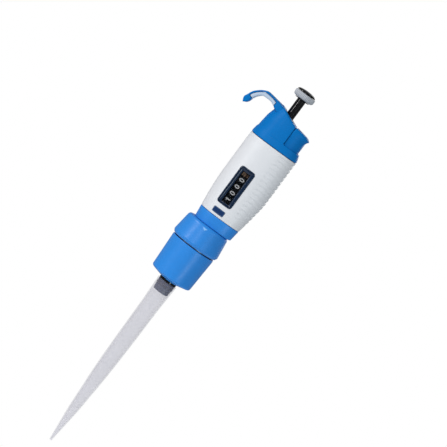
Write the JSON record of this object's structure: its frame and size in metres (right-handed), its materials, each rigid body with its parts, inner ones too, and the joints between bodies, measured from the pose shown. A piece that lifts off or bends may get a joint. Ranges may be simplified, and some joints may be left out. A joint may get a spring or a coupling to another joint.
{
  "type": "adjustable pipette",
  "caption": "Hand-held air-displacement pipette with push-button plunger, four-digit volume counter, finger hook, tip ejector and a fitted conical tip.",
  "frame": {"origin": "on the plunger axis, level with the flat underside of the finger hook, where the pipette hangs on a stand", "axes": "+Z along the plunger axis towards the knob; -X towards the finger hook; +X towards the palm and the tip ejector; the volume window faces -Y"},
  "size_m": [0.0688, 0.0448, 0.3686],
  "materials": {
    "blue_plastic": "satin moulded blue plastic",
    "deep_blue_plastic": "smooth moulded deep blue plastic",
    "navy_plastic": "smooth navy plastic",
    "white_plastic": "fine-textured white plastic with grip ribs",
    "pale_pad": "soft pale elastomer",
    "window_bezel": "dark teal-blue gloss",
    "window_clear": "clear window",
    "black_gloss": "polished black",
    "drum_black": "black digit drum with white numbers",
    "knob_grey": "grey plastic, finely fluted",
    "nozzle_grey": "grey polymer",
    "dark_grey_plastic": "dark grey polymer",
    "inner_white": "natural white polymer",
    "tip_polypropylene": "translucent milky polypropylene",
    "seal_rubber": "black seal rubber",
    "steel": "stainless steel",
    "brass": "turned brass"
  },
  "bodies": {
    "handle": {"handle_shell": "white_plastic", "top_cap": "deep_blue_plastic", "hook_pad": "pale_pad", "window_frame": "window_bezel", "window_lens": "window_clear", "calibration_cover": "navy_plastic", "calibration_screw": "brass", "base_collar": "blue_plastic", "retaining_ring": "blue_plastic", "cylinder": "nozzle_grey", "cylinder_head": "dark_grey_plastic", "nozzle_cone": "nozzle_grey", "nozzle_filter": "inner_white", "nozzle_o_ring": "seal_rubber", "nozzle_shoulder": "black_gloss", "counter_cage": "dark_grey_plastic", "drum_shaft": "steel", "pinion_shaft": "steel", "threaded_bush": "brass", "volume_stop_nut": "steel", "rod_guide_bush": "black_gloss", "ejector_guide": "dark_grey_plastic", "main_spring": "steel", "blow_out_spring": "steel", "ejector_spring": "steel"},
    "stop_washer": {"blow_out_washer": "steel"},
    "plunger": {"piston_head": "inner_white", "piston_seal": "seal_rubber", "piston_rod": "steel", "spring_seat": "dark_grey_plastic", "retaining_clip": "steel"},
    "knob": {"operating_rod": "black_gloss", "knob_base": "black_gloss", "knob_ring": "knob_grey", "knob_cap": "black_gloss"},
    "counter_drive": {"counter_drive_gear": "brass"},
    "tens_drum": {"drum_tens": "drum_black"},
    "units_drum": {"drum_units": "drum_black"},
    "tenths_drum": {"drum_tenths": "drum_black"},
    "hundredths_drum": {"drum_hundredths": "drum_black"},
    "tens_pinion": {"carry_pinion_1": "inner_white"},
    "units_pinion": {"carry_pinion_2": "inner_white"},
    "tenths_pinion": {"carry_pinion_3": "inner_white"},
    "ejector": {"ejector_button": "deep_blue_plastic", "ejector_rod": "steel", "ejector_carrier": "steel", "ejector_sleeve": "blue_plastic"},
    "tip": {"tip": "tip_polypropylene"}
  },
  "joints": [
    {"name": "blow_out", "type": "slide", "parent": "handle", "child": "stop_washer", "axis": [0, 0, 1], "range_m": [-0.0013, 0], "stiffness_N_per_m": 4000, "springref_m": 0.004, "deforming": ["blow_out_spring"]},
    {"name": "plunger_stroke", "type": "slide", "parent": "stop_washer", "child": "plunger", "axis": [0, 0, 1], "range_m": [-0.012, 0], "stiffness_N_per_m": 350, "springref_m": 0.012, "deforming": ["main_spring"]},
    {"name": "knob_turn", "type": "hinge", "parent": "plunger", "child": "knob", "pos_m": [0, 0, 0], "axis": [0, 0, 1], "range_deg": [-3240, 0]},
    {"name": "counter_drive_turn", "type": "hinge", "parent": "handle", "child": "counter_drive", "pos_m": [0, 0, 0], "axis": [0, 0, 1], "range_deg": [-3240, 0]},
    {"name": "hundredths_turn", "type": "hinge", "parent": "handle", "child": "hundredths_drum", "pos_m": [0, 0, 0], "axis": [0, 0, 1], "range_deg": [-32400, 0]},
    {"name": "tenths_turn", "type": "hinge", "parent": "handle", "child": "tenths_drum", "pos_m": [0, 0, 0], "axis": [0, 0, 1], "range_deg": [-3240, 0]},
    {"name": "units_turn", "type": "hinge", "parent": "handle", "child": "units_drum", "pos_m": [0, 0, 0], "axis": [0, 0, 1], "range_deg": [-324, 0]},
    {"name": "tens_turn", "type": "hinge", "parent": "handle", "child": "tens_drum", "pos_m": [0, 0, 0], "axis": [0, 0, 1], "range_deg": [-36.1, 0]},
    {"name": "tenths_pinion_turn", "type": "hinge", "parent": "handle", "child": "tenths_pinion", "pos_m": [0.00906, 0.0108, 0], "axis": [0, 0, 1], "range_deg": [0, 8100]},
    {"name": "units_pinion_turn", "type": "hinge", "parent": "handle", "child": "units_pinion", "pos_m": [0.00906, 0.0108, 0], "axis": [0, 0, 1], "range_deg": [0, 810]},
    {"name": "tens_pinion_turn", "type": "hinge", "parent": "handle", "child": "tens_pinion", "pos_m": [0.00906, 0.0108, 0], "axis": [0, 0, 1], "range_deg": [0, 81]},
    {"name": "eject", "type": "slide", "parent": "handle", "child": "ejector", "axis": [0, 0, 1], "range_m": [-0.01, 0], "stiffness_N_per_m": 300, "springref_m": 0.02, "deforming": ["ejector_spring"]},
    {"name": "tip_release", "type": "slide", "parent": "handle", "child": "tip", "axis": [0, 0, 1], "range_m": [-0.0083, 0]}
  ],
  "couplings": [
    {"joint": "counter_drive_turn", "follows": "knob_turn", "ratio": 1},
    {"joint": "hundredths_turn", "follows": "knob_turn", "ratio": 10},
    {"joint": "tenths_turn", "follows": "knob_turn", "ratio": 1},
    {"joint": "units_turn", "follows": "knob_turn", "ratio": 0.1},
    {"joint": "tens_turn", "follows": "knob_turn", "ratio": 0.011111},
    {"joint": "tenths_pinion_turn", "follows": "knob_turn", "ratio": -2.5},
    {"joint": "units_pinion_turn", "follows": "knob_turn", "ratio": -0.25},
    {"joint": "tens_pinion_turn", "follows": "knob_turn", "ratio": -0.025},
    {"joint": "tip_release", "follows": "eject", "ratio": 0.83}
  ]
}
